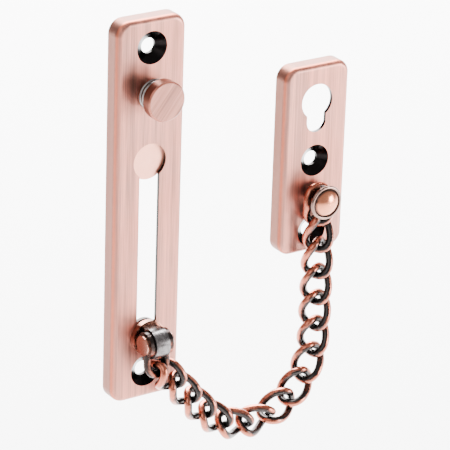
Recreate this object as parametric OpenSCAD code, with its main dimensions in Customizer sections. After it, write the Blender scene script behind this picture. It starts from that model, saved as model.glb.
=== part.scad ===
// Door chain guard: a slotted guide plate for the door, a keep plate for the
// frame, a sprung release button with its latch plate, a slider with a
// shackle, and a twisted chain that ends on a rivet on the keep plate.
//
// +X runs from the guide plate to the keep plate, -Y faces the room and +Z is
// up. The origin is at the middle of the guide plate's back face.

/* [Guide plate] */
// Height of the guide plate
guide_h = 125; // [110:1:160]
// Width of both plates
plate_w = 24; // [23:0.5:32]
// Depth of both pressed plates, from the wall to the front face
plate_d = 5.7; // [5.4:0.1:7]
// Thickness of the pressed sheet
sheet_t = 1.2; // [1:0.1:1.4]
// Radius of the plates' outline corners
corner_r = 4.5; // [3:0.5:6]
// Radius of the rolled shoulder round the front face
shoulder_r = 1.7; // [1.4:0.1:2.2]
// Distance between the guide plate's two screws
guide_screw_span = 106.6; // [94:0.5:140]
// Height of the release button above the middle of the plate
button_z = 39; // [36:0.5:44]
// Height of the keyhole above the middle of the plate
keyhole_z = 16.9; // [12:0.5:18]
// Radius of the keyhole's round part
keyhole_r = 5.7; // [5.7:0.1:6.2]
// Width of the slot
slot_w = 7.1; // [6.8:0.1:7.4]
// Height of the slot's lower end, measured from the middle of the plate
slot_low = -44.6; // [-46:0.2:-40]

/* [Keep plate] */
// Distance between the middles of the two plates
plate_gap = 61.1; // [56:0.5:75]
// Height of the keep plate
keep_h = 63; // [58:1:80]
// Height of the keep plate's middle above the guide plate's middle
keep_rise = 6; // [0:0.5:8]
// Height of the parking keyhole above the keep plate's middle
park_up = 19.4; // [17:0.5:22]
// Width of the parking keyhole's lower notch
park_notch_w = 7.1; // [6.8:0.1:7.4]
// Drop from the parking keyhole's middle to the notch's lower end
park_notch_drop = 10.2; // [9:0.2:12]
// Distance between the keep plate's two screws
keep_screw_span = 24; // [23:0.5:26]
// Drop from the keep plate's middle to the midpoint of its two screws
keep_screw_drop = 12.4; // [12:0.2:14]
// Drop from the keep plate's middle to the chain rivet
anchor_drop = 12.2; // [11:0.2:14]

/* [Screw seats] */
// Radius of the countersink's mouth
seat_r = 5.2; // [4.8:0.1:5.6]
// Radius of the screw hole
screw_hole_r = 2.4; // [2:0.1:2.6]
// Depth of the countersink's cone
seat_depth = 2.4; // [2:0.1:2.8]

/* [Release button] */
// Radius of the button's head
button_r = 6.35; // [5.5:0.1:7]
// Thickness of the button's head
button_t = 3.5; // [3:0.1:4.5]
// Gap between the plate and the head when the button is out
button_gap = 5.65; // [5.2:0.1:7]
// Radius of the button's stem
stem_r = 2.5; // [2.2:0.1:2.8]
// Radius of the spring wire
spring_wire_r = 0.45; // [0.35:0.05:0.5]
// Mean radius of the spring
spring_r = 4.6; // [4:0.1:4.8]
// Number of turns in the spring
spring_turns = 3; // [2.5:0.25:3.5]
// Thickness of the latch plate
latch_t = 1.2; // [1:0.1:1.3]
// Half width of the latch plate's lower end, which closes the keyhole
latch_nose_r = 6.2; // [5.9:0.1:7]

/* [Slider] */
// Radius of the slider's neck, which turns in the slot
neck_r = 3.2; // [3:0.05:3.3]
// Radius of the washer behind the slot
washer_r = 5.3; // [5:0.1:5.4]
// Radius of the collar in front of the slot
collar_r = 5.7; // [5.4:0.1:6]
// Thickness of the tongue
tongue_t = 4.8; // [4.4:0.1:5.2]
// Radius of the tongue's rounded end
tongue_r = 4.8; // [4.4:0.1:5]
// Distance of the cross pin from the wall
pin_out = 11.5; // [11.2:0.1:12.2]
// Radius of the cross pin
pin_r = 1.8; // [1.5:0.1:2]
// Thickness of the shackle's ears
ear_t = 1.4; // [1.2:0.1:1.6]
// Radius of the shackle's ears
ear_r = 4.1; // [3.9:0.05:4.2]
// Radius of the shackle's round bar
bar_r = 1.25; // [1.1:0.05:1.35]
// Distance from the cross pin to the bar at the bottom of the shackle
shackle_l = 10.3; // [10:0.1:12]
// How far the shackle leans away from the wall, in degrees
shackle_lean = 6; // [4:0.5:10]

/* [Chain] */
// Radius of the chain wire
wire_r = 1.25; // [1.1:0.05:1.3]
// Distance from one link to the next when the chain is straight
pitch = 9.1; // [8.9:0.1:10]
// Half width of a link, to the middle of its wire
link_half_w = 4.1; // [4:0.1:4.5]
// Twist of each end of a link, in degrees
link_twist = 50; // [45:1:55]
// Radius of the bow that the chain hangs in
bow_r = 24; // [22:0.5:28]
// Radius of the neck of the chain rivet
rivet_neck_r = 2.35; // [2.1:0.05:2.4]
// Radius of the chain rivet's head
rivet_head_r = 5.7; // [5.3:0.1:5.8]
// Distance of the chain from the wall at the rivet
first_out = 9.5; // [9.3:0.1:10.6]
// How far the hanging side of the chain is rolled about its own length, in degrees
chain_roll = 34; // [25:1:45]

/* [Hidden] */
$fn = 96;

// Clearances between pieces that move against each other
running = 0.05;
face_gap = 0.15;
slide_gap = 0.1;
wire_gap = 0.4;
cut = 1;

// Colours
copper = "#c08a78";
bright_copper = "#cf8f74";
dark_bronze = "#3a322f";
steel = "#9a9c9e";

// Sheet and screw seats
sheet_back = plate_d - sheet_t;
seat_land = 1;
seat_lip = 0.9;
guide_screws = [guide_screw_span / 2, -guide_screw_span / 2];
keep_mid_screws = keep_rise - keep_screw_drop;
keep_screws = [keep_mid_screws + keep_screw_span / 2, keep_mid_screws - keep_screw_span / 2];
park_z = keep_rise + park_up;
anchor_z = keep_rise - anchor_drop;

// Button: distances from the wall
head_back = plate_d + button_gap;
head_front = head_back + button_t;
head_chamfer = 0.45;
spigot_r = 1.9;
spigot_l = 2.6;
latch_front = sheet_back - running;
latch_back = latch_front - latch_t;
tail_r = 1.6;
tail_head_r = 2.6;
tail_head_t = 0.7;
latch_head_w = plate_w - 2 * sheet_t - 1;
latch_head_up = 7;
latch_head_drop = 9;
latch_nose_taper = 4;

// Slider: distances from the wall and height
slider_z = slot_low + neck_r + slide_gap;
washer_t = 1.2;
washer_front = sheet_back - face_gap;
washer_back = washer_front - washer_t;
peen_r = 4.1;
peen_t = 0.75;
collar_t = 1.25;
collar_back = plate_d + face_gap;
collar_front = collar_back + collar_t;
collar_dish = 0.5;
base_back = collar_front + slide_gap;
tongue_flat = 0.6;

// Shackle, across the tongue
ear_in = tongue_t / 2 + 0.2;
ear_out = ear_in + ear_t;
bar_x = (ear_in + ear_out) / 2;
pin_head_r = 3.2;
pin_head_t = 1;
pin_washer_r = 3;
pin_washer_t = 0.8;
pin_peen_r = 2.4;
pin_peen_t = 0.5;
bar_top = 3.3;

// Chain rivet: distances from the wall
rivet_head_back = 10.4;
rivet_edge_back = 12.9;
rivet_rim_out = 13.6;
rivet_dome_r = 4.5;
rivet_dome_h = 1.9;
rivet_groove = 0.55;
rivet_shank_r = rivet_neck_r;
rivet_peen_r = 3.4;
rivet_peen_t = 0.8;
backing_r = 5;
backing_t = 0.8;

// Links: half length of the wire's middle line, and the link's rings and sides
link_half_l = (pitch + 2 * wire_r + wire_gap) / 2;
last_link = 14;
link_rings = 40;
wire_sides = 10;
oval = 2.6;
neck_play = 0.25;
first_link_out = 8.7;
first_twist = 35;
last_twist = 110;
roll_ramp = 4;
eye_below = 0.2;

// The chain hangs in an upright plane through the rivet and the shackle's eye,
// which lies just below the middle of its bend.
// In that plane u runs from the rivet towards the guide plate and z is up.
eye_drop = shackle_l - bar_x + eye_below;
eye_out = pin_out + eye_drop * sin(shackle_lean);
eye_z = slider_z - eye_drop * cos(shackle_lean);
chain_turn = atan2(eye_out - first_out, plate_gap);
eye_u = plate_gap / cos(chain_turn);
hang = link_half_l - wire_r - neck_play - rivet_neck_r;
top_z = anchor_z - hang - pitch / 2;
last_reach = pitch / 2 + link_half_l;
open_after = 8;
open_slack = 0.1;
chain_l = (last_link - 1) * pitch - open_slack + last_reach;
first_lean = 6;

// The bow: straight down, round an arc, then straight to the shackle's eye
function eye_from(zc) = [eye_u - bow_r, eye_z - zc];
function tail_l(zc) = sqrt(max(norm(eye_from(zc)) ^ 2 - bow_r ^ 2, 0));
function leave_angle(zc) =
  atan2(eye_from(zc)[1], eye_from(zc)[0]) - acos(min(bow_r / norm(eye_from(zc)), 1));
function arc_l(zc) = bow_r * (leave_angle(zc) + 180) * PI / 180;
function hang_l(zc) = top_z - zc + arc_l(zc) + tail_l(zc);
function find_bow(low, high, tries) =
  tries == 0 ? (low + high) / 2
  : hang_l((low + high) / 2) > chain_l ? find_bow((low + high) / 2, high, tries - 1)
  : find_bow(low, (low + high) / 2, tries - 1);
bow_z = find_bow(top_z - chain_l, top_z, 40);
bow_leave = leave_angle(bow_z);
bow_arc = arc_l(bow_z);
function on_circle(angle) = [bow_r + bow_r * cos(angle), bow_z + bow_r * sin(angle)];
function chain_at(s) =
  s < top_z - bow_z ? [0, top_z - s]
  : s < top_z - bow_z + bow_arc ? on_circle(-180 + (s - top_z + bow_z) / bow_r * 180 / PI)
  : on_circle(bow_leave)
    + ([eye_u, eye_z] - on_circle(bow_leave)) * (s - top_z + bow_z - bow_arc) / tail_l(bow_z);
function link_start(k) = (k - 1) * pitch - (k > open_after ? open_slack : 0);
function link_from(k) = chain_at(link_start(k));
function link_to(k) = k < last_link ? chain_at(link_start(k) + pitch) : [eye_u, eye_z];
function link_angle(k) =
  k == 0 ? -90
  : atan2(link_to(k)[1] - link_from(k)[1], link_to(k)[0] - link_from(k)[0]);
// Roll of a link about its own length: it grows over the first links and ends at the bow
function link_roll(k) = k > open_after ? 0 : chain_roll * min(k / roll_ramp, 1);
function link_middle(k) =
  k == 0 ? [0, anchor_z - hang]
  : link_from(k) + pitch / 2 * [cos(link_angle(k)), sin(link_angle(k))];

// One point of a link's middle line at angle t, with the twist at its two ends
function signed_pow(v, e) = sign(v) * pow(abs(v), e);
function link_point(t, twist_a, twist_b) =
  let (
    x = link_half_l * signed_pow(cos(t), 2 / oval),
    r = link_half_w * signed_pow(sin(t), 2 / oval),
    turn = x < 0 ? twist_a * x / link_half_l : twist_b * x / link_half_l
  ) [x, r * cos(turn), r * sin(turn)];
function unit(v) = v / norm(v);
// Angle of a ring along the oval
function ring_t(i) = 360 * i / link_rings;

// A wire of round section swept along a closed loop of points
module swept_loop(points, r, sides) {
  n = len(points);
  rings = [for (i = [0:n - 1])
    let (
      along = unit(points[(i + 1) % n] - points[(i + n - 1) % n]),
      out = unit(points[i] - along * (points[i] * along)),
      side = cross(along, out)
    )
    [for (j = [0:sides - 1])
      points[i] + r * (cos(360 * j / sides) * out + sin(360 * j / sides) * side)]];
  faces = [for (i = [0:n - 1], j = [0:sides - 1], half = [0, 1])
    let (
      a = i * sides + j,
      b = i * sides + (j + 1) % sides,
      c = ((i + 1) % n) * sides + j,
      d = ((i + 1) % n) * sides + (j + 1) % sides
    )
    half == 0 ? [a, c, b] : [b, c, d]];
  polyhedron([for (ring = rings, q = ring) q], faces);
}

// A wire of round section swept along an open line of points
module swept_wire(points, r, sides) {
  n = len(points);
  rings = [for (i = [0:n - 1])
    let (
      along = unit(points[min(i + 1, n - 1)] - points[max(i - 1, 0)]),
      out = unit([points[i][0], points[i][1], 0]),
      up = unit(cross(along, out)),
      flat = cross(up, along)
    )
    [for (j = [0:sides - 1])
      points[i] + r * (cos(360 * j / sides) * flat + sin(360 * j / sides) * up)]];
  faces = concat(
    [for (i = [0:n - 2], j = [0:sides - 1], half = [0, 1])
      let (
        a = i * sides + j,
        b = i * sides + (j + 1) % sides,
        c = (i + 1) * sides + j,
        d = (i + 1) * sides + (j + 1) % sides
      )
      half == 0 ? [a, c, b] : [b, c, d]],
    [[for (j = [0:sides - 1]) j]],
    [[for (j = [sides - 1:-1:0]) (n - 1) * sides + j]]
  );
  polyhedron([for (ring = rings, q = ring) q], faces);
}

// Local frame of things on the wall: x is X, y is up, z points out of the wall
module on_wall(x = 0, z = 0) {
  translate([x, 0, z]) rotate([90, 0, 0]) children();
}

// Disc or ring between two distances from the wall
module disc(r, from, to) {
  translate([0, 0, from]) cylinder(r = r, h = to - from);
}

module slot_outline(from_z, to_z, w) {
  translate([0, from_z]) circle(d = w);
  translate([0, to_z]) circle(d = w);
  translate([-w / 2, min(from_z, to_z)]) square([w, abs(to_z - from_z)]);
}

module rounded_outline(w, h, r) {
  for (sx = [-1, 1], sy = [-1, 1])
    translate([sx * (w / 2 - r), sy * (h / 2 - r)]) circle(r = r);
  square([w - 2 * r, h], center = true);
  square([w, h - 2 * r], center = true);
}

// Solid block with a rolled shoulder round its front face
module rolled_block(w, h, d, r, roll) {
  linear_extrude(d - roll) rounded_outline(w, h, r);
  linear_extrude(d) rounded_outline(w - 2 * roll, h - 2 * roll, r - roll);
  translate([0, 0, d - roll]) {
    for (sx = [-1, 1]) translate([sx * (w / 2 - roll), 0, 0])
      rotate([90, 0, 0]) cylinder(r = roll, h = h - 2 * r, center = true);
    for (sy = [-1, 1]) translate([0, sy * (h / 2 - roll), 0])
      rotate([0, 90, 0]) cylinder(r = roll, h = w - 2 * r, center = true);
    for (sx = [-1, 1], sy = [-1, 1]) translate([sx * (w / 2 - r), sy * (h / 2 - r), 0])
      rotate_extrude() translate([r - roll, 0]) intersection() {
        circle(r = roll);
        translate([0, -roll]) square([roll, 2 * roll]);
      }
  }
}

// Pressed plate, open at the back, with dimpled seats for its screws
module pressed_plate(h, seats) {
  difference() {
    union() {
      difference() {
        rolled_block(plate_w, h, plate_d, corner_r, shoulder_r);
        translate([0, 0, -cut])
          rolled_block(plate_w - 2 * sheet_t, h - 2 * sheet_t, sheet_back + cut,
            corner_r - sheet_t, shoulder_r - sheet_t);
      }
      for (y = seats) translate([0, y, 0]) seat_wall();
    }
    for (y = seats) translate([0, y, 0]) seat_hole();
  }
}

module seat_wall() {
  translate([0, 0, plate_d - seat_depth - seat_land])
    cylinder(r1 = screw_hole_r + seat_lip, r2 = seat_r + seat_lip,
      h = seat_depth + seat_land - sheet_t / 2);
}

module seat_hole() {
  translate([0, 0, plate_d - seat_depth])
    cylinder(r1 = screw_hole_r, r2 = seat_r, h = seat_depth);
  disc(seat_r, plate_d, plate_d + cut);
  disc(screw_hole_r, -cut, plate_d - seat_depth + cut / 10);
}

module guide_plate() color(copper) on_wall() difference() {
  pressed_plate(guide_h, guide_screws);
  translate([0, button_z, 0]) disc(stem_r + running, 0, plate_d + cut);
  translate([0, keyhole_z, 0]) disc(keyhole_r, sheet_back - cut, plate_d + cut);
  translate([0, 0, sheet_back - cut]) linear_extrude(sheet_t + 2 * cut)
    slot_outline(slot_low + slot_w / 2, keyhole_z, slot_w);
}

module keep_plate() color(copper) on_wall(plate_gap) difference() {
  translate([0, keep_rise, 0])
    pressed_plate(keep_h, [for (z = keep_screws) z - keep_rise]);
  translate([0, park_z, 0]) disc(keyhole_r, sheet_back - cut, plate_d + cut);
  translate([0, 0, sheet_back - cut]) linear_extrude(sheet_t + 2 * cut)
    slot_outline(park_z - park_notch_drop + park_notch_w / 2, park_z, park_notch_w);
  translate([0, anchor_z, 0]) disc(rivet_shank_r, sheet_back - cut, plate_d + cut);
}

// Turned rivet with a domed head, a groove and a raised rim
module chain_rivet() color(bright_copper) on_wall(plate_gap, anchor_z) {
  disc(rivet_shank_r, sheet_back - backing_t, rivet_head_back);
  disc(rivet_peen_r, sheet_back - backing_t - rivet_peen_t, sheet_back - backing_t);
  rivet_rim_r = (rivet_head_r - rivet_dome_r) / 2;
  rotate_extrude() {
    polygon([
      [0, rivet_head_back],
      [rivet_neck_r, rivet_head_back],
      [rivet_head_r, rivet_edge_back],
      [rivet_head_r, rivet_rim_out - rivet_rim_r],
      [0, rivet_rim_out - rivet_rim_r]
    ]);
    translate([0, rivet_rim_out - rivet_rim_r - rivet_groove])
      square([rivet_dome_r, rivet_groove + rivet_rim_r / 2]);
    translate([rivet_head_r - rivet_rim_r, rivet_rim_out - rivet_rim_r]) circle(r = rivet_rim_r);
  }
  dome_ball_r = (rivet_dome_r ^ 2 + rivet_dome_h ^ 2) / (2 * rivet_dome_h);
  intersection() {
    translate([0, 0, rivet_rim_out - rivet_rim_r / 2 + rivet_dome_h - dome_ball_r])
      sphere(r = dome_ball_r);
    disc(rivet_dome_r, rivet_rim_out - rivet_rim_r, rivet_rim_out + rivet_dome_h);
  }
}

module rivet_backing_washer() color(steel) on_wall(plate_gap, anchor_z) difference() {
  disc(backing_r, sheet_back - backing_t, sheet_back);
  disc(rivet_shank_r, sheet_back - backing_t - cut, sheet_back + cut);
}

module button_head() color(copper) on_wall(0, button_z) difference() {
  union() {
    disc(button_r, head_back, head_front - head_chamfer);
    translate([0, 0, head_front - head_chamfer])
      cylinder(r1 = button_r, r2 = button_r - head_chamfer, h = head_chamfer);
  }
  disc(spigot_r, head_back - cut, head_back + spigot_l);
}

module button_stem() color(steel) on_wall(0, button_z) {
  disc(stem_r, latch_front, head_back);
  disc(spigot_r, head_back, head_back + spigot_l);
  disc(tail_r, latch_back, latch_front);
  disc(tail_head_r, latch_back - tail_head_t, latch_back);
}

module button_spring() color(steel) on_wall(0, button_z) {
  low = plate_d + spring_wire_r + running;
  rise = button_gap - 2 * spring_wire_r - 2 * running;
  steps = ceil(spring_turns * 24);
  swept_wire(
    [for (i = [0:steps])
      let (turn = 360 * spring_turns * i / steps)
      [spring_r * cos(turn), spring_r * sin(turn), low + rise * i / steps]],
    spring_wire_r, 8);
}

// Flat plate behind the sheet: its nose closes the keyhole, its head is guided
// by the side walls and riveted to the button's stem
module latch_plate() color(bright_copper) on_wall() difference() {
  translate([0, 0, latch_back]) linear_extrude(latch_t) union() {
    polygon([
      [-latch_head_w / 2, button_z + latch_head_up],
      [-latch_head_w / 2, button_z - latch_head_drop],
      [-latch_nose_r, button_z - latch_head_drop - latch_nose_taper],
      [-latch_nose_r, keyhole_z],
      [latch_nose_r, keyhole_z],
      [latch_nose_r, button_z - latch_head_drop - latch_nose_taper],
      [latch_head_w / 2, button_z - latch_head_drop],
      [latch_head_w / 2, button_z + latch_head_up]
    ]);
    translate([0, keyhole_z]) circle(r = latch_nose_r);
  }
  translate([0, button_z, 0]) disc(tail_r, latch_back - cut, latch_front + cut);
}

module slider_washer() color(dark_bronze) on_wall(0, slider_z) difference() {
  disc(washer_r, washer_back, washer_front);
  disc(neck_r + running, washer_back - cut, washer_front + cut);
}

module slider_collar() color(copper) on_wall(0, slider_z) difference() {
  disc(collar_r, collar_back, collar_front + collar_dish);
  disc(neck_r + running, collar_back - cut, collar_front + cut);
  disc(collar_r - collar_dish, collar_front, collar_front + collar_dish + cut);
}

// Neck and rounded tongue in one piece, peened over the washer
module slider_tongue() color(steel) on_wall(0, slider_z) difference() {
  union() {
    disc(neck_r, washer_back - running, base_back);
    disc(peen_r, washer_back - running - peen_t, washer_back - running);
    translate([0, 0, pin_out]) rotate([0, 90, 0])
      cylinder(r = tongue_r, h = tongue_t, center = true);
    translate([-tongue_t / 2, -tongue_r + tongue_flat, base_back])
      cube([tongue_t, 2 * (tongue_r - tongue_flat), pin_out - base_back]);
  }
  translate([0, 0, pin_out]) rotate([0, 90, 0])
    cylinder(r = pin_r + running, h = tongue_t + 2 * cut, center = true);
}

// Frame of the shackle: its pin lies along x, and its bar hangs down -y
module at_pin() {
  on_wall(0, slider_z) translate([0, 0, pin_out]) rotate([-shackle_lean, 0, 0]) children();
}

module shackle() color(dark_bronze) at_pin() difference() {
  union() {
    for (s = [-1, 1]) {
      translate([s * bar_x, 0, 0]) rotate([0, 90, 0])
        cylinder(r = ear_r, h = ear_t, center = true);
      translate([s * bar_x, -bar_top, 0]) rotate([90, 0, 0])
        cylinder(r = bar_r, h = shackle_l - bar_x - bar_top);
    }
    translate([0, -shackle_l + bar_x, 0]) rotate([0, 0, 180]) rotate_extrude(angle = 180)
      translate([bar_x, 0]) circle(r = bar_r);
  }
  rotate([0, 90, 0]) cylinder(r = pin_r, h = 2 * ear_out + 2 * cut, center = true);
  cube([2 * ear_in, 2 * (ear_r + cut), 2 * (ear_r + cut)], center = true);
}

module shackle_pin() color(bright_copper) at_pin() rotate([0, 90, 0]) {
  disc(pin_r, -ear_out, ear_out + pin_washer_t);
  disc(pin_head_r, -ear_out - pin_head_t, -ear_out);
  disc(pin_peen_r, ear_out + pin_washer_t, ear_out + pin_washer_t + pin_peen_t);
}

module pin_washer() color(steel) at_pin() rotate([0, 90, 0]) difference() {
  disc(pin_washer_r, ear_out, ear_out + pin_washer_t);
  disc(pin_r, ear_out - cut, ear_out + pin_washer_t + cut);
}

// Frame of the chain's plane: x is u, y is up, z points at the wall
module in_chain_plane() {
  translate([plate_gap, -first_out, 0]) rotate([90, 0, 180 + chain_turn]) children();
}

// The first link rides on the rivet's neck, flat at the top and twisted below
module first_link() {
  translate([plate_gap, -first_link_out, anchor_z - hang])
    rotate([90 + first_lean, 0, 180]) rotate([0, 0, -90])
    swept_loop([for (i = [0:link_rings - 1]) link_point(ring_t(i), 0, first_twist)],
      wire_r, wire_sides);
}

module chain_link(k) color(dark_bronze) {
  end_twist = k == last_link ? last_twist : link_twist;
  if (k == 0) first_link();
  else in_chain_plane() translate(concat(link_middle(k), 0))
    rotate([0, 0, link_angle(k)]) rotate([link_roll(k), 0, 0])
    swept_loop([for (i = [0:link_rings - 1]) link_point(ring_t(i), link_twist, end_twist)],
      wire_r, wire_sides);
}

guide_plate();
keep_plate();
chain_rivet();
rivet_backing_washer();
button_head();
button_stem();
button_spring();
latch_plate();
slider_washer();
slider_collar();
slider_tongue();
shackle();
shackle_pin();
pin_washer();
chain_link(0);  // link_00
chain_link(1);  // link_01
chain_link(2);  // link_02
chain_link(3);  // link_03
chain_link(4);  // link_04
chain_link(5);  // link_05
chain_link(6);  // link_06
chain_link(7);  // link_07
chain_link(8);  // link_08
chain_link(9);  // link_09
chain_link(10);  // link_10
chain_link(11);  // link_11
chain_link(12);  // link_12
chain_link(13);  // link_13
chain_link(14);  // link_14
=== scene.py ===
"""Looks of a door chain guard in antique copper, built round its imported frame."""

import logging
import math
from dataclasses import dataclass
from enum import Enum

import bpy
from mathutils import Matrix, Vector


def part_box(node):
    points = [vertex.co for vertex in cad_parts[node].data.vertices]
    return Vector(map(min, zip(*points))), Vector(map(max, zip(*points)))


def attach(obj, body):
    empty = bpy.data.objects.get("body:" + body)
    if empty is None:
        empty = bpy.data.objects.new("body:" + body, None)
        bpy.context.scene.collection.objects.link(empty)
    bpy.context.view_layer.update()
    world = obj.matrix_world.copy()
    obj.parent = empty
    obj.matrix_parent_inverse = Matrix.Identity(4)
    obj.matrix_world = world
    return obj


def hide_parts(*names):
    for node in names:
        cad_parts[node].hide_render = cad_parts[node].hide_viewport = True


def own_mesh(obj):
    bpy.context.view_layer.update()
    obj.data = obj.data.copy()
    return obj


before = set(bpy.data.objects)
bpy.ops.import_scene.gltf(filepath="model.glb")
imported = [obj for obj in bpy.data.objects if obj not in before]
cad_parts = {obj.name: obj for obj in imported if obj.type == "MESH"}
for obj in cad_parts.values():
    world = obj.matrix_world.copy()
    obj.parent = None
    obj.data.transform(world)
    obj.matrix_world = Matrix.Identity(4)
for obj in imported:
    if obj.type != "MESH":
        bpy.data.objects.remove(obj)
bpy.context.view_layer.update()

log = logging.getLogger("door_chain_guard")
MM = 0.001


def tint(red: int, green: int, blue: int) -> tuple[float, float, float, float]:
    """Turns a colour on the 0 to 255 scale into linear values.

    Args:
        red: red share.
        green: green share.
        blue: blue share.

    Returns:
        The linear colour with full alpha.
    """
    parts = [c / 255 for c in (red, green, blue)]
    linear = [c / 12.92 if c <= 0.04045 else ((c + 0.055) / 1.055) ** 2.4 for c in parts]
    return (*linear, 1.0)


class Graph:
    """Small helper that adds and joins nodes in one node tree."""

    def __init__(self, tree: bpy.types.NodeTree) -> None:
        """Keeps the tree that nodes go into."""
        self.tree = tree

    def add(self, kind: str, **settings: object) -> bpy.types.Node:
        """Adds a node.

        Args:
            kind: the node's type.
            settings: properties to set on it.

        Returns:
            The new node.
        """
        node = self.tree.nodes.new(kind)
        for key, value in settings.items():
            setattr(node, key, value)
        return node

    def join(self, source: object, target: bpy.types.NodeSocket) -> None:
        """Links an output to an input, or sets the input's plain value."""
        if isinstance(source, bpy.types.NodeSocket):
            self.tree.links.new(source, target)
        else:
            target.default_value = source

    def math(self, operation: str, *values: object) -> bpy.types.NodeSocket:
        """Adds a Math node.

        Args:
            operation: the sum it does.
            values: sockets or numbers for its inputs.

        Returns:
            Its output socket.
        """
        node = self.add("ShaderNodeMath", operation=operation)
        for value, socket in zip(values, node.inputs):
            self.join(value, socket)
        return node.outputs[0]

    def vector(self, operation: str, *values: object) -> bpy.types.NodeSocket:
        """Adds a Vector Math node.

        Args:
            operation: the sum it does.
            values: sockets or vectors for its inputs.

        Returns:
            Its vector output, or its value for a dot product or a length.
        """
        node = self.add("ShaderNodeVectorMath", operation=operation)
        for value, socket in zip(values, node.inputs):
            self.join(value, socket)
        return node.outputs["Value" if operation in ("DOT_PRODUCT", "LENGTH") else "Vector"]

    def ramp(self, value: object, low: float, high: float) -> bpy.types.NodeSocket:
        """Maps a value smoothly from 0 at low to 1 at high.

        Args:
            value: the socket to map.
            low: the value that gives 0.
            high: the value that gives 1.

        Returns:
            The mapped socket.
        """
        node = self.add("ShaderNodeMapRange", interpolation_type="SMOOTHSTEP")
        for name, part in (("Value", value), ("From Min", low), ("From Max", high)):
            self.join(part, node.inputs[name])
        return node.outputs["Result"]

    def mix(self, factor: object, first: object, second: object) -> bpy.types.NodeSocket:
        """Mixes two colours.

        Args:
            factor: share of the second colour.
            first: the first colour.
            second: the second colour.

        Returns:
            The mixed colour's socket.
        """
        node = self.add("ShaderNodeMix", data_type="RGBA")
        for name, part in (("Factor_Float", factor), ("A_Color", first), ("B_Color", second)):
            self.join(part, next(s for s in node.inputs if s.identifier == name))
        return next(s for s in node.outputs if s.identifier == "Result_Color")

    def use(self, group: bpy.types.NodeTree, **values: object) -> bpy.types.Node:
        """Places a node group.

        Args:
            group: the group.
            values: its inputs by name, with underscores for spaces.

        Returns:
            The group node.
        """
        node = self.add("ShaderNodeGroup", node_tree=group)
        for name, part in values.items():
            self.join(part, node.inputs[name.replace("_", " ")])
        return node


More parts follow.
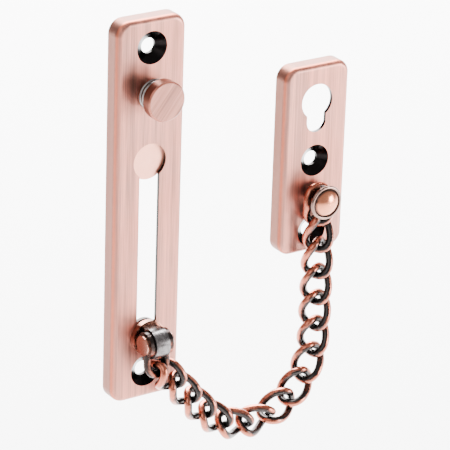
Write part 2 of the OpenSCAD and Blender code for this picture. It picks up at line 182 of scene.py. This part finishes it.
class SharedEffects:
    """Shader node groups that more than one finish uses."""

    def __init__(self) -> None:
        """Builds the groups once."""
        self.grain = self._grain()
        # The worn group marks surfaces turned away from the front: worn edges, and painted shade on walls and
        # polished sides.
        self.worn = self._wear_and_shade()
        self.smudge = self._smudge()

    @staticmethod
    def _start(name: str, inputs: dict[str, str], outputs: dict[str, str]) -> tuple:
        """Starts a group.

        Args:
            name: the group's name.
            inputs: input names and their socket types.
            outputs: output names and their socket types.

        Returns:
            The group, its graph helper, and its input and output nodes.
        """
        group = bpy.data.node_groups.new(name, "ShaderNodeTree")
        for label, kind in inputs.items():
            group.interface.new_socket(label, in_out="INPUT", socket_type=kind)
        for label, kind in outputs.items():
            group.interface.new_socket(label, in_out="OUTPUT", socket_type=kind)
        graph = Graph(group)
        return group, graph, graph.add("NodeGroupInput"), graph.add("NodeGroupOutput")

    def _grain(self) -> bpy.types.NodeTree:
        """Brushed grain: fine and broad streaks along the vector's z.

        Returns:
            A group with inputs Vector, Fineness and Stretch and outputs Streak and Height.
        """
        group, graph, inside, out = self._start(
            "brushed_grain",
            {"Vector": "NodeSocketVector", "Fineness": "NodeSocketFloat", "Stretch": "NodeSocketFloat"},
            {"Streak": "NodeSocketFloat", "Height": "NodeSocketFloat"},
        )
        parts = graph.add("ShaderNodeSeparateXYZ")
        graph.join(inside.outputs["Vector"], parts.inputs[0])
        squeezed = graph.add("ShaderNodeCombineXYZ")
        graph.join(parts.outputs[0], squeezed.inputs[0])
        graph.join(parts.outputs[1], squeezed.inputs[1])
        graph.join(graph.math("MULTIPLY", parts.outputs[2], inside.outputs["Stretch"]), squeezed.inputs[2])
        layers = []
        for share in (1.0, 0.22):
            noise = graph.add("ShaderNodeTexNoise")
            graph.join(squeezed.outputs[0], noise.inputs["Vector"])
            graph.join(graph.math("MULTIPLY", inside.outputs["Fineness"], share), noise.inputs["Scale"])
            noise.inputs["Detail"].default_value = 4.0
            noise.inputs["Roughness"].default_value = 0.6
            layers.append(noise.outputs[0])
        shares = [graph.math("MULTIPLY", layer, part) for layer, part in zip(layers, (0.45, 0.55))]
        both = graph.math("ADD", *shares)
        graph.join(graph.ramp(both, 0.34, 0.66), out.inputs["Streak"])
        graph.join(layers[0], out.inputs["Height"])
        return group

    def _wear_and_shade(self) -> bpy.types.NodeTree:
        """Mask where the surface turns away from an axis, broken up by a little noise; it gives worn edges,
        and painted shade on side walls and on the sides of polished parts.

        Returns:
            A group with inputs Axis, Low and High and an output Mask.
        """
        group, graph, inside, out = self._start(
            "wear_and_shade_by_facing",
            {"Axis": "NodeSocketVector", "Low": "NodeSocketFloat", "High": "NodeSocketFloat"},
            {"Mask": "NodeSocketFloat"},
        )
        place = graph.add("ShaderNodeTexCoord")
        straight = graph.vector("DOT_PRODUCT", place.outputs["Normal"], inside.outputs["Axis"])
        facing = graph.math("ABSOLUTE", straight)
        noise = graph.add("ShaderNodeTexNoise")
        graph.join(place.outputs["Object"], noise.inputs["Vector"])
        noise.inputs["Scale"].default_value = 900.0
        noise.inputs["Detail"].default_value = 3.0
        away = graph.math("SUBTRACT", 1.0, facing)
        shake = graph.math("SUBTRACT", noise.outputs[0], 0.5)
        shaken = graph.math("ADD", away, graph.math("MULTIPLY", shake, 0.18))
        graph.join(graph.ramp(shaken, inside.outputs["Low"], inside.outputs["High"]), out.inputs["Mask"])
        return group

    def _smudge(self) -> bpy.types.NodeTree:
        """Soft cloudy patches, as handling and lacquer leave.

        Returns:
            A group with an input Size and an output Cloud.
        """
        group, graph, inside, out = self._start(
            "handling_smudge", {"Size": "NodeSocketFloat"}, {"Cloud": "NodeSocketFloat"}
        )
        place = graph.add("ShaderNodeTexCoord")
        noise = graph.add("ShaderNodeTexNoise")
        graph.join(place.outputs["Object"], noise.inputs["Vector"])
        graph.join(graph.math("DIVIDE", 1.0, inside.outputs["Size"]), noise.inputs["Scale"])
        noise.inputs["Detail"].default_value = 5.0
        noise.inputs["Roughness"].default_value = 0.62
        graph.join(graph.ramp(noise.outputs[0], 0.3, 0.7), out.inputs["Cloud"])
        return group


class BrushWay(Enum):
    """Directions that a face can be brushed in, as turns about Y in degrees."""

    UPRIGHT = 0.0
    SLANTED = -38.0


@dataclass(frozen=True)
class BrushedCopper:
    """Antique copper plating, brushed with clear lacquer, with painted shade in its recesses and on its side
    walls.
    """

    way: BrushWay = BrushWay.UPRIGHT
    pink: tuple = tint(206, 138, 122)
    grey: tuple = tint(136, 102, 94)
    edge: tuple = tint(184, 100, 76)
    # side is a painted shade colour for walls that turn away from the front.
    side: tuple = tint(104, 72, 62)
    # dark is a painted shade colour for hole walls and seats.
    dark: tuple = tint(26, 23, 23)
    recess_middle: tuple[float, float, float] = (0.0, 0.0, 0.0)
    recess_half: tuple[float, float] = (0.0, 0.0)
    fineness: float = 2600.0
    stretch: float = 0.018

    def material(self, name: str, effects: SharedEffects) -> bpy.types.Material:
        """Makes the material.

        Args:
            name: the material's name.
            effects: the shared groups.

        Returns:
            The new material.
        """
        made = bpy.data.materials.new(name)
        made.use_nodes = True
        graph = Graph(made.node_tree)
        shader = made.node_tree.nodes["Principled BSDF"]
        place = graph.add("ShaderNodeTexCoord")
        turn = graph.add("ShaderNodeMapping")
        graph.join(place.outputs["Object"], turn.inputs["Vector"])
        turn.inputs["Rotation"].default_value = (0, math.radians(self.way.value), 0)
        grain = graph.use(effects.grain, Vector=turn.outputs[0], Fineness=self.fineness, Stretch=self.stretch)
        worn = graph.use(effects.worn, Axis=(0, 1, 0), Low=0.05, High=0.55)
        cloud = graph.use(effects.smudge, Size=0.02)
        face = graph.mix(grain.outputs["Streak"], self.grey, self.pink)
        face = graph.mix(graph.math("MULTIPLY", cloud.outputs[0], 0.22), face, self.edge)
        color = graph.mix(graph.math("MULTIPLY", worn.outputs[0], 0.85), face, self.edge)
        # Painted shade: walls that turn away from the front are darkened towards the side colour.
        walls = graph.use(effects.worn, Axis=(0, 1, 0), Low=0.55, High=0.95)
        color = graph.mix(graph.math("MULTIPLY", walls.outputs[0], 0.8), color, self.side)
        rough = graph.math("ADD", 0.34, graph.math("MULTIPLY", grain.outputs["Streak"], 0.12))
        # Painted shade: hole walls and seats are darkened towards the dark colour.
        if self.recess_half[0]:
            recess_shade = self._recess(graph, place)
            color = graph.mix(recess_shade, color, self.dark)
            rough = graph.math("SUBTRACT", rough, graph.math("MULTIPLY", recess_shade, 0.2))
        bump = graph.add("ShaderNodeBump")
        bump.inputs["Strength"].default_value = 0.25
        bump.inputs["Distance"].default_value = 0.00003
        graph.join(grain.outputs["Height"], bump.inputs["Height"])
        graph.join(color, shader.inputs["Base Color"])
        graph.join(rough, shader.inputs["Roughness"])
        graph.join(bump.outputs[0], shader.inputs["Normal"])
        shader.inputs["Metallic"].default_value = 1.0
        return made

    def _recess(self, graph: Graph, place: bpy.types.Node) -> bpy.types.NodeSocket:
        """Masks hole walls and seats, which face sideways inside the plate's outline, for painted shade.

        Args:
            graph: the material's graph.
            place: its Texture Coordinate node.

        Returns:
            The mask's socket.
        """
        off = graph.vector("ABSOLUTE", graph.vector("SUBTRACT", place.outputs["Object"], self.recess_middle))
        parts = graph.add("ShaderNodeSeparateXYZ")
        graph.join(off, parts.inputs[0])
        wide = graph.math("LESS_THAN", parts.outputs[0], self.recess_half[0])
        tall = graph.math("LESS_THAN", parts.outputs[2], self.recess_half[1])
        facing = graph.math("ABSOLUTE", graph.vector("DOT_PRODUCT", place.outputs["Normal"], (0, 1, 0)))
        aside = graph.ramp(graph.math("SUBTRACT", 1.0, facing), 0.05, 0.14)
        return graph.math("MULTIPLY", graph.math("MULTIPLY", wide, tall), aside)


@dataclass(frozen=True)
class PolishedCopper:
    """Bright copper plating with soft smudges, painted shade where it turns away from the front, and on the
    rivet a painted shadow ring and a painted highlight rim.
    """

    bright: tuple = tint(226, 142, 108)
    deep: tuple = tint(140, 76, 56)
    rough: float = 0.17
    cloud_size: float = 0.006
    ring_middle: tuple[float, float, float] | None = None
    ring_shade: tuple = tint(58, 46, 43)
    rim_highlight: tuple = tint(140, 112, 102)

    def material(self, name: str, effects: SharedEffects) -> bpy.types.Material:
        """Makes the material.

        Args:
            name: the material's name.
            effects: the shared groups.

        Returns:
            The new material.
        """
        made = bpy.data.materials.new(name)
        made.use_nodes = True
        graph = Graph(made.node_tree)
        shader = made.node_tree.nodes["Principled BSDF"]
        cloud = graph.use(effects.smudge, Size=self.cloud_size)
        # Painted shade: the colour turns deep where the surface turns away from the front.
        worn = graph.use(effects.worn, Axis=(0, 1, 0), Low=0.25, High=0.95)
        color = graph.mix(graph.math("MULTIPLY", worn.outputs[0], 0.7), self.bright, self.deep)
        color = graph.mix(graph.math("MULTIPLY", cloud.outputs[0], 0.25), color, self.deep)
        # On the rivet: a painted shadow ring, then a painted silver highlight on the rim, by distance from
        # its axis.
        if self.ring_middle:
            place = graph.add("ShaderNodeTexCoord")
            parts = graph.add("ShaderNodeSeparateXYZ")
            graph.join(graph.vector("SUBTRACT", place.outputs["Object"], self.ring_middle), parts.inputs[0])
            squares = [graph.math("MULTIPLY", parts.outputs[i], parts.outputs[i]) for i in (0, 2)]
            out_from = graph.math("SQRT", graph.math("ADD", *squares))
            color = graph.mix(graph.ramp(out_from, 0.0036, 0.0044), color, self.ring_shade)
            color = graph.mix(graph.ramp(out_from, 0.0045, 0.0051), color, self.rim_highlight)
        graph.join(color, shader.inputs["Base Color"])
        graph.join(
            graph.math("ADD", self.rough, graph.math("MULTIPLY", cloud.outputs[0], 0.1)),
            shader.inputs["Roughness"],
        )
        shader.inputs["Metallic"].default_value = 1.0
        return made


@dataclass(frozen=True)
class RelievedBronze:
    """Near-black plating, rubbed back to copper on the parts that stand out; the copper is partly painted
    highlight and the dark partly painted shade.
    """

    dark: tuple = tint(56, 52, 51)
    copper: tuple = tint(184, 106, 84)
    from_attribute: bool = False
    low: float = 0.3
    high: float = 0.85

    def material(self, name: str, effects: SharedEffects) -> bpy.types.Material:
        """Makes the material.

        Args:
            name: the material's name.
            effects: the shared groups.

        Returns:
            The new material.
        """
        made = bpy.data.materials.new(name)
        made.use_nodes = True
        graph = Graph(made.node_tree)
        shader = made.node_tree.nodes["Principled BSDF"]
        cloud = graph.use(effects.smudge, Size=0.0025)
        if self.from_attribute:
            proud_and_lit = graph.add("ShaderNodeAttribute", attribute_name="relief_and_highlight").outputs["Fac"]
        else:
            place = graph.add("ShaderNodeTexCoord")
            # Painted highlight: faces towards the front, right and below, where the light comes from, turn
            # copper.
            proud_and_lit = graph.vector("DOT_PRODUCT", place.outputs["Normal"], (0.25, -0.85, -0.35))
        # For the links the copper is partly rubbed wear and partly painted highlight; for the fixed direction
        # it is painted highlight. The dark is partly painted shade.
        shake = graph.math("SUBTRACT", cloud.outputs[0], 0.5)
        shaken = graph.math("ADD", proud_and_lit, graph.math("MULTIPLY", shake, 0.4))
        rubbed = graph.ramp(shaken, self.low, self.high)
        graph.join(graph.mix(rubbed, self.dark, self.copper), shader.inputs["Base Color"])
        graph.join(
            graph.math("ADD", 0.2, graph.math("MULTIPLY", cloud.outputs[0], 0.12)),
            shader.inputs["Roughness"],
        )
        shader.inputs["Metallic"].default_value = 1.0
        return made


@dataclass(frozen=True)
class BrightSteel:
    """Plain bright steel with fine turning marks."""

    light: tuple = tint(178, 174, 172)
    shade: tuple = tint(112, 106, 104)
    rough: float = 0.28

    def material(self, name: str, effects: SharedEffects) -> bpy.types.Material:
        """Makes the material.

        Args:
            name: the material's name.
            effects: the shared groups.

        Returns:
            The new material.
        """
        made = bpy.data.materials.new(name)
        made.use_nodes = True
        graph = Graph(made.node_tree)
        shader = made.node_tree.nodes["Principled BSDF"]
        place = graph.add("ShaderNodeTexCoord")
        grain = graph.use(effects.grain, Vector=place.outputs["Object"], Fineness=3000.0, Stretch=0.3)
        cloud = graph.use(effects.smudge, Size=0.003)
        color = graph.mix(cloud.outputs[0], self.light, self.shade)
        streaks = graph.math("MULTIPLY", grain.outputs[0], 0.3)
        graph.join(graph.mix(streaks, color, self.shade), shader.inputs["Base Color"])
        graph.join(
            graph.math("ADD", self.rough, graph.math("MULTIPLY", grain.outputs[0], 0.12)),
            shader.inputs["Roughness"],
        )
        shader.inputs["Metallic"].default_value = 1.0
        return made


class SweepTree:
    """A Geometry Nodes tree that ends in a plain swept wire."""

    def __init__(self, name: str, sizes: dict[str, str]) -> None:
        """Starts the tree.

        Args:
            name: the tree's name.
            sizes: its named inputs and their socket types.
        """
        self.tree = bpy.data.node_groups.new(name, "GeometryNodeTree")
        for label, kind in sizes.items():
            self.tree.interface.new_socket(label, in_out="INPUT", socket_type=kind)
        self.tree.interface.new_socket("Geometry", in_out="OUTPUT", socket_type="NodeSocketGeometry")
        self.graph = Graph(self.tree)
        self.inside = self.graph.add("NodeGroupInput")
        self.out = self.graph.add("NodeGroupOutput")

    def given(self, label: str) -> bpy.types.NodeSocket:
        """Gives the socket of a named input."""
        return self.inside.outputs[label]

    def sweep(self, curve: bpy.types.NodeSocket, caps: bool) -> bpy.types.NodeSocket:
        """Sweeps the wire's round section along a curve.

        Args:
            curve: the curve's socket.
            caps: whether the ends are closed.

        Returns:
            The mesh's socket.
        """
        ring = self.graph.add("GeometryNodeCurvePrimitiveCircle")
        self.graph.join(self.given("Wire Radius"), ring.inputs["Radius"])
        self.graph.join(self.given("Sides"), ring.inputs["Resolution"])
        body = self.graph.add("GeometryNodeCurveToMesh")
        self.graph.join(curve, body.inputs["Curve"])
        self.graph.join(ring.outputs["Curve"], body.inputs["Profile Curve"])
        body.inputs["Fill Caps"].default_value = caps
        return body.outputs["Mesh"]

    def close(self, mesh: bpy.types.NodeSocket) -> None:
        """Ends the tree in smooth shading, Realize Instances and Set Material."""
        smooth = self.graph.add("GeometryNodeSetShadeSmooth")
        self.graph.join(mesh, smooth.inputs["Geometry"])
        real = self.graph.add("GeometryNodeRealizeInstances")
        self.graph.join(smooth.outputs[0], real.inputs[0])
        coat = self.graph.add("GeometryNodeSetMaterial")
        self.graph.join(real.outputs[0], coat.inputs["Geometry"])
        self.graph.join(self.given("Finish"), coat.inputs["Material"])
        self.graph.join(coat.outputs[0], self.out.inputs["Geometry"])

    def grow(self, name: str, sizes: dict[str, object], place: Matrix) -> bpy.types.Object:
        """Runs the tree once and keeps the result as a plain mesh in its place.

        Args:
            name: the new piece's name.
            sizes: a value for each named input.
            place: where the piece goes in the frame.

        Returns:
            The finished object, at the origin.
        """
        holder = bpy.data.objects.new(name + "_seed", bpy.data.meshes.new(name + "_seed"))
        bpy.context.scene.collection.objects.link(holder)
        modifier = holder.modifiers.new("grow", "NODES")
        modifier.node_group = self.tree
        for item in self.tree.interface.items_tree:
            if item.in_out == "INPUT" and item.name in sizes:
                modifier[item.identifier] = sizes[item.name]
        holder.update_tag()
        graph = bpy.context.evaluated_depsgraph_get()
        mesh = bpy.data.meshes.new_from_object(holder.evaluated_get(graph), depsgraph=graph)
        holder.modifiers.remove(modifier)
        bpy.data.objects.remove(holder)
        mesh.name = name
        mesh.transform(place)
        piece = bpy.data.objects.new(name, mesh)
        bpy.context.scene.collection.objects.link(piece)
        return piece


@dataclass
class TwistedChain:
    """The curb chain that hangs from the keep plate's rivet to the shackle's eye."""

    wire_radius: float = 1.25
    pitch: float = 9.1
    half_length: float = 6.0
    half_width: float = 4.1
    oval: float = 2.6
    twist: float = 50.0
    first_twist: float = 35.0
    last_twist: float = 110.0
    rivet_x: float = 61.1
    chain_out: float = 9.5
    first_out: float = 8.7
    first_lean: float = 6.0
    rivet_z: float = -6.2
    hang: float = 2.15
    eye_out: float = 12.2526
    eye_z: float = -48.4606
    bow_radius: float = 24.0
    roll: float = 34.0
    roll_ramp: int = 4
    last: int = 14
    open_after: int = 8
    open_slack: float = 0.1
    rings: int = 96
    sides: int = 20

    def __post_init__(self) -> None:
        """Works out the plane and the bow that the chain hangs in."""
        self.turn = math.atan2(self.eye_out - self.chain_out, self.rivet_x)
        self.eye_u = self.rivet_x / math.cos(self.turn)
        self.top_z = self.rivet_z - self.hang - self.pitch / 2
        length = (self.last - 1) * self.pitch - self.open_slack + self.pitch / 2 + self.half_length
        low, high = self.top_z - length, self.top_z
        for _ in range(40):
            middle = (low + high) / 2
            if self._hung(middle)[0] > length:
                low = middle
            else:
                high = middle
        self.bow_z = (low + high) / 2
        _, self.arc, self.tail, self.leave = self._hung(self.bow_z)

    def _hung(self, middle: float) -> tuple[float, float, float, float]:
        """Measures a bow at some height.

        Args:
            middle: height of the bow's middle.

        Returns:
            The chain's whole length, the arc's, the straight tail's, and the angle where the arc ends.
        """
        off = Vector((self.eye_u - self.bow_radius, self.eye_z - middle))
        tail = math.sqrt(max(off.length_squared - self.bow_radius**2, 0.0))
        leave = math.atan2(off.y, off.x) - math.acos(min(self.bow_radius / off.length, 1.0))
        arc = self.bow_radius * (leave + math.pi)
        return self.top_z - middle + arc + tail, arc, tail, leave

    def _on_bow(self, angle: float) -> Vector:
        """Gives the bow's point at an angle."""
        across = self.bow_radius * (1 + math.cos(angle))
        return Vector((across, self.bow_z + self.bow_radius * math.sin(angle)))

    def _along(self, run: float) -> Vector:
        """Gives the chain line's point at a run from the first crossing.

        Args:
            run: length along the line.

        Returns:
            The point in the chain's plane.
        """
        straight = self.top_z - self.bow_z
        if run < straight:
            return Vector((0.0, self.top_z - run))
        if run < straight + self.arc:
            return self._on_bow((run - straight) / self.bow_radius - math.pi)
        end = self._on_bow(self.leave)
        return end + (Vector((self.eye_u, self.eye_z)) - end) * (run - straight - self.arc) / self.tail

    def _place(self, number: int) -> Matrix:
        """Works out where a link sits.

        Args:
            number: the link's number from the rivet.

        Returns:
            Its place in the frame, in millimetres.
        """
        quarter = Matrix.Rotation(math.pi / 2, 4, "X")
        if number == 0:
            lean = Matrix.Rotation(math.radians(90 + self.first_lean), 4, "X")
            turned = Matrix.Rotation(math.pi, 4, "Z") @ lean @ Matrix.Rotation(-math.pi / 2, 4, "Z")
            return Matrix.Translation((self.rivet_x, -self.first_out, self.rivet_z - self.hang)) @ turned
        start = (number - 1) * self.pitch - (self.open_slack if number > self.open_after else 0.0)
        begin = self._along(start)
        end = self._along(start + self.pitch) if number < self.last else Vector((self.eye_u, self.eye_z))
        way = (end - begin).normalized()
        middle = begin + way * self.pitch / 2
        share = 0.0 if number > self.open_after else min(number / self.roll_ramp, 1.0)
        roll = math.radians(self.roll) * share
        hung_from = Matrix.Translation((self.rivet_x, -self.chain_out, 0))
        plane = hung_from @ Matrix.Rotation(math.pi + self.turn, 4, "Z") @ quarter
        spin = Matrix.Rotation(math.atan2(way.y, way.x), 4, "Z") @ Matrix.Rotation(roll, 4, "X")
        return plane @ Matrix.Translation((middle.x, middle.y, 0)) @ spin

    @staticmethod
    def _tree() -> SweepTree:
        """Builds the tree that makes one link: a twisted oval loop of wire.

        Returns:
            The tree, with the link's sizes as its inputs.
        """
        number = "NodeSocketFloat"
        made = SweepTree(
            "twisted_link",
            {
                "Half Length": number, "Half Width": number, "Oval": number,
                "Start Twist": number, "End Twist": number, "Wire Radius": number,
                "Rings": "NodeSocketInt", "Sides": "NodeSocketInt", "Finish": "NodeSocketMaterial",
            },
        )
        graph = made.graph
        loop = graph.add("GeometryNodeCurvePrimitiveCircle")
        graph.join(made.given("Rings"), loop.inputs["Resolution"])
        index = graph.add("GeometryNodeInputIndex").outputs[0]
        around = graph.math("MULTIPLY", index, graph.math("DIVIDE", math.tau, made.given("Rings")))
        power = graph.math("DIVIDE", 2.0, made.given("Oval"))
        rounded = []
        for wave in ("COSINE", "SINE"):
            value = graph.math(wave, around)
            size = graph.math("POWER", graph.math("ABSOLUTE", value), power)
            rounded.append(graph.math("MULTIPLY", graph.math("SIGN", value), size))
        along = graph.math("MULTIPLY", made.given("Half Length"), rounded[0])
        across = graph.math("MULTIPLY", made.given("Half Width"), rounded[1])
        early = graph.math("LESS_THAN", along, 0.0)
        twist = graph.math(
            "ADD",
            graph.math("MULTIPLY", early, made.given("Start Twist")),
            graph.math("MULTIPLY", graph.math("SUBTRACT", 1.0, early), made.given("End Twist")),
        )
        turned = graph.math("MULTIPLY", twist, rounded[0])
        point = graph.add("ShaderNodeCombineXYZ")
        graph.join(along, point.inputs[0])
        graph.join(graph.math("MULTIPLY", across, graph.math("COSINE", turned)), point.inputs[1])
        graph.join(graph.math("MULTIPLY", across, graph.math("SINE", turned)), point.inputs[2])
        bent = graph.add("GeometryNodeSetPosition")
        graph.join(loop.outputs["Curve"], bent.inputs["Geometry"])
        graph.join(point.outputs[0], bent.inputs["Position"])
        mesh = made.sweep(bent.outputs["Geometry"], caps=False)
        # The stored mask is partly rubbed wear and partly painted light: outer sides of the wire turn copper
        # as highlight, inner faces stay dark as shade.
        outward = graph.vector("NORMALIZE", graph.add("GeometryNodeInputPosition").outputs[0])
        relief_and_highlight = graph.vector("DOT_PRODUCT", graph.add("GeometryNodeInputNormal").outputs[0], outward)
        kept = graph.add("GeometryNodeStoreNamedAttribute", data_type="FLOAT", domain="POINT")
        graph.join(mesh, kept.inputs["Geometry"])
        kept.inputs["Name"].default_value = "relief_and_highlight"
        graph.join(relief_and_highlight, kept.inputs["Value"])
        made.close(kept.outputs["Geometry"])
        return made

    def build(self, finish: bpy.types.Material) -> None:
        """Makes every link smooth, in place of the frame's plain ones.

        Args:
            finish: the links' material.
        """
        tree = self._tree()
        scale = Matrix.Scale(MM, 4)
        for number in range(self.last + 1):
            node = f"link_{number:02d}"
            start, end = self.twist, self.twist
            if number == 0:
                start, end = 0.0, self.first_twist
            elif number == self.last:
                end = self.last_twist
            sizes = {
                "Half Length": self.half_length, "Half Width": self.half_width, "Oval": self.oval,
                "Start Twist": math.radians(start), "End Twist": math.radians(end),
                "Wire Radius": self.wire_radius, "Rings": self.rings, "Sides": self.sides, "Finish": finish,
            }
            link = tree.grow(f"smooth_{node}", sizes, scale @ self._place(number))
            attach(link, node)
            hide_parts(node)
            low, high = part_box(node)
            mine = [Vector(v.co) for v in link.data.vertices]
            lows = [min(v[i] for v in mine) for i in range(3)]
            highs = [max(v[i] for v in mine) for i in range(3)]
            gap = max(abs(lows[i] - low[i]) + abs(highs[i] - high[i]) for i in range(3))
            log.info("%s smooth, box off by %.2f mm", node, gap / MM)


@dataclass
class ReleaseSpring:
    """The coil between the guide plate and the button's head."""

    middle_z: float = 39.0
    radius: float = 4.6
    wire_radius: float = 0.45
    turns: float = 3.0
    first_out: float = 6.2
    rise: float = 4.65
    plate_out: float = 5.7
    pressed_share: float = 0.593

    def build(self, finish: bpy.types.Material) -> None:
        """Makes the coil.

        Args:
            finish: the coil's material.
        """
        number = "NodeSocketFloat"
        made = SweepTree(
            "release_coil",
            {
                "Coil Radius": number, "Turns": number, "Rise": number, "Wire Radius": number,
                "Sides": "NodeSocketInt", "Finish": "NodeSocketMaterial",
            },
        )
        coil = made.graph.add("GeometryNodeCurveSpiral")
        coil.inputs["Resolution"].default_value = 48
        made.graph.join(made.given("Turns"), coil.inputs["Rotations"])
        made.graph.join(made.given("Coil Radius"), coil.inputs["Start Radius"])
        made.graph.join(made.given("Coil Radius"), coil.inputs["End Radius"])
        made.graph.join(made.given("Rise"), coil.inputs["Height"])
        made.close(made.sweep(coil.outputs["Curve"], caps=True))
        out = Matrix.Translation((0, -self.first_out, self.middle_z)) @ Matrix.Rotation(math.pi / 2, 4, "X")
        sizes = {
            "Coil Radius": self.radius, "Turns": self.turns, "Rise": self.rise,
            "Wire Radius": self.wire_radius, "Sides": 14, "Finish": finish,
        }
        spring = made.grow("smooth_button_spring", sizes, Matrix.Scale(MM, 4) @ out)
        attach(spring, "plates")
        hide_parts("button_spring")
        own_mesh(spring)
        log.info("button_spring wound with %.0f turns", self.turns)


@dataclass
class Fittings:
    """The plates, button, slider and rivet, which keep their own shapes and get their finishes."""

    guide_half: tuple[float, float] = (9.4, 60.0)
    keep_x: float = 61.1
    keep_z: float = 6.0
    keep_half: tuple[float, float] = (9.4, 29.0)
    rivet_z: float = -6.2

    def dress(self, effects: SharedEffects) -> dict[str, bpy.types.Material]:
        """Gives each kept node its finish.

        Args:
            effects: the shared groups.

        Returns:
            The materials by the finish's name.
        """
        guide_half = tuple(v * MM for v in self.guide_half)
        keep_half = tuple(v * MM for v in self.keep_half)
        keep_middle = (self.keep_x * MM, 0.0, self.keep_z * MM)
        rivet_middle = (self.keep_x * MM, 0.0, self.rivet_z * MM)
        latch_bright, latch_deep = tint(240, 168, 146), tint(228, 148, 124)
        collar_bright, collar_deep = tint(206, 142, 122), tint(96, 62, 52)
        finishes = {
            "guide_face": BrushedCopper(recess_half=guide_half),
            "keep_face": BrushedCopper(recess_middle=keep_middle, recess_half=keep_half),
            "button_face": BrushedCopper(
                way=BrushWay.SLANTED, pink=tint(188, 128, 114), grey=tint(116, 86, 79), side=tint(92, 60, 50)
            ),
            "rivet_copper": PolishedCopper(ring_middle=rivet_middle),
            "collar_copper": PolishedCopper(bright=collar_bright, deep=collar_deep),
            "latch_copper": PolishedCopper(bright=latch_bright, deep=latch_deep, rough=0.35),
            "shackle_bronze": RelievedBronze(dark=tint(52, 44, 42), low=0.7, high=1.2),
            "link_bronze": RelievedBronze(from_attribute=True),
            "steel": BrightSteel(),
            "tongue_steel": BrightSteel(light=tint(128, 124, 124), shade=tint(58, 54, 54), rough=0.22),
        }
        coats = {name: finish.material(name, effects) for name, finish in finishes.items()}
        worn = {
            "guide_plate": "guide_face",
            "keep_plate": "keep_face",
            "button_head": "button_face",
            "chain_rivet": "rivet_copper",
            "rivet_backing_washer": "steel",
            "button_stem": "steel",
            "latch_plate": "latch_copper",
            "slider_washer": "shackle_bronze",
            "slider_collar": "collar_copper",
            "slider_tongue": "tongue_steel",
            "shackle": "shackle_bronze",
            "shackle_pin": "collar_copper",
            "pin_washer": "steel",
        }
        for node, coat in worn.items():
            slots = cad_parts[node].data.materials
            slots.clear()
            slots.append(coats[coat])
            log.info("%s dressed in %s", node, coat)
        return coats


@dataclass
class Studio:
    """Pale floor, soft lights and the camera."""

    target: tuple[float, float, float] = (31.85, 0.0, -12.67)
    distance: float = 890.24
    azimuth: float = -33.69
    elevation: float = 23.04
    roll: float = 1.9
    lens: float = 227.13
    floor_z: float = -0.30

    def camera(self) -> None:
        """Makes the camera."""
        turn, rise, roll = (math.radians(v) for v in (self.azimuth, self.elevation, self.roll))
        back = Vector((math.sin(turn) * math.cos(rise), -math.cos(turn) * math.cos(rise), math.sin(rise)))
        right = Vector((math.cos(turn), math.sin(turn), 0.0))
        up = back.cross(right)
        tilted_right = math.cos(roll) * right + math.sin(roll) * up
        tilted_up = math.cos(roll) * up - math.sin(roll) * right
        made = bpy.data.cameras.new("camera")
        made.lens, made.sensor_width = self.lens, 36.0
        made.dof.use_dof = False
        made.clip_start, made.clip_end = 0.05, 20.0
        holder = bpy.data.objects.new("camera", made)
        bpy.context.scene.collection.objects.link(holder)
        turned = Matrix((tilted_right, tilted_up, back)).transposed().to_4x4()
        place = (Vector(self.target) + back * self.distance) * MM
        holder.matrix_world = Matrix.Translation(place) @ turned
        bpy.context.scene.camera = holder

    def floor(self) -> None:
        """Makes the floor, which rises into a backdrop far behind."""
        profile = [(-2.0, self.floor_z), (1.2, self.floor_z)]
        profile += [(1.2 + 0.8 * math.sin(a), self.floor_z + 0.8 * (1 - math.cos(a)))
                    for a in (math.pi / 2 * i / 12 for i in range(1, 13))]
        profile.append((2.0, self.floor_z + 3.0))
        across = Vector((math.cos(math.radians(self.azimuth)), math.sin(math.radians(self.azimuth)), 0))
        away = Vector((-across.y, across.x, 0))
        corners = [away * d + across * s + Vector((0, 0, h)) for d, h in profile for s in (-3.0, 3.0)]
        faces = [(2 * i, 2 * i + 1, 2 * i + 3, 2 * i + 2) for i in range(len(profile) - 1)]
        mesh = bpy.data.meshes.new("floor")
        mesh.from_pydata(corners, [], faces)
        mesh.shade_smooth()
        sheet = bpy.data.objects.new("floor", mesh)
        bpy.context.scene.collection.objects.link(sheet)
        paint = bpy.data.materials.new("floor")
        paint.use_nodes = True
        shader = paint.node_tree.nodes["Principled BSDF"]
        shader.inputs["Base Color"].default_value = (0.95, 0.95, 0.95, 1)
        shader.inputs["Roughness"].default_value = 0.9
        mesh.materials.append(paint)

    @staticmethod
    def _soft(name: str, place: tuple, aim: tuple, size: float, power: float) -> None:
        """Adds a soft square light.

        Args:
            name: its name.
            place: where it hangs.
            aim: the point it faces.
            size: its side.
            power: its power.
        """
        made = bpy.data.lights.new(name, "AREA")
        made.size, made.energy = size, power
        holder = bpy.data.objects.new(name, made)
        bpy.context.scene.collection.objects.link(holder)
        way = Vector(aim) - Vector(place)
        holder.matrix_world = Matrix.Translation(place) @ way.to_track_quat("-Z", "Y").to_matrix().to_4x4()

    def light(self) -> None:
        """Adds the lights and the pale surroundings."""
        world = bpy.data.worlds.new("surroundings")
        world.use_nodes = True
        world.node_tree.nodes["Background"].inputs["Color"].default_value = (1, 1, 1, 1)
        world.node_tree.nodes["Background"].inputs["Strength"].default_value = 0.62
        bpy.context.scene.world = world
        middle = (0.03, 0.0, -0.01)
        self._soft("key", (0.75, -0.75, 0.05), middle, 0.4, 16.0)
        self._soft("fill", (-0.9, -0.6, 0.7), middle, 0.9, 5.0)
        self._soft("backdrop", (0.55, 1.0, 1.3), (0.55, 0.85, self.floor_z), 1.6, 300.0)


def main() -> None:
    """Builds the door chain guard's looks in order."""
    logging.basicConfig(level=logging.INFO, format="%(name)s: %(message)s")
    studio = Studio()
    studio.camera()
    coats = Fittings().dress(SharedEffects())
    TwistedChain().build(coats["link_bronze"])
    ReleaseSpring().build(coats["steel"])
    studio.floor()
    studio.light()
    log.info("boxes written")


if __name__ == "__main__":
    main()
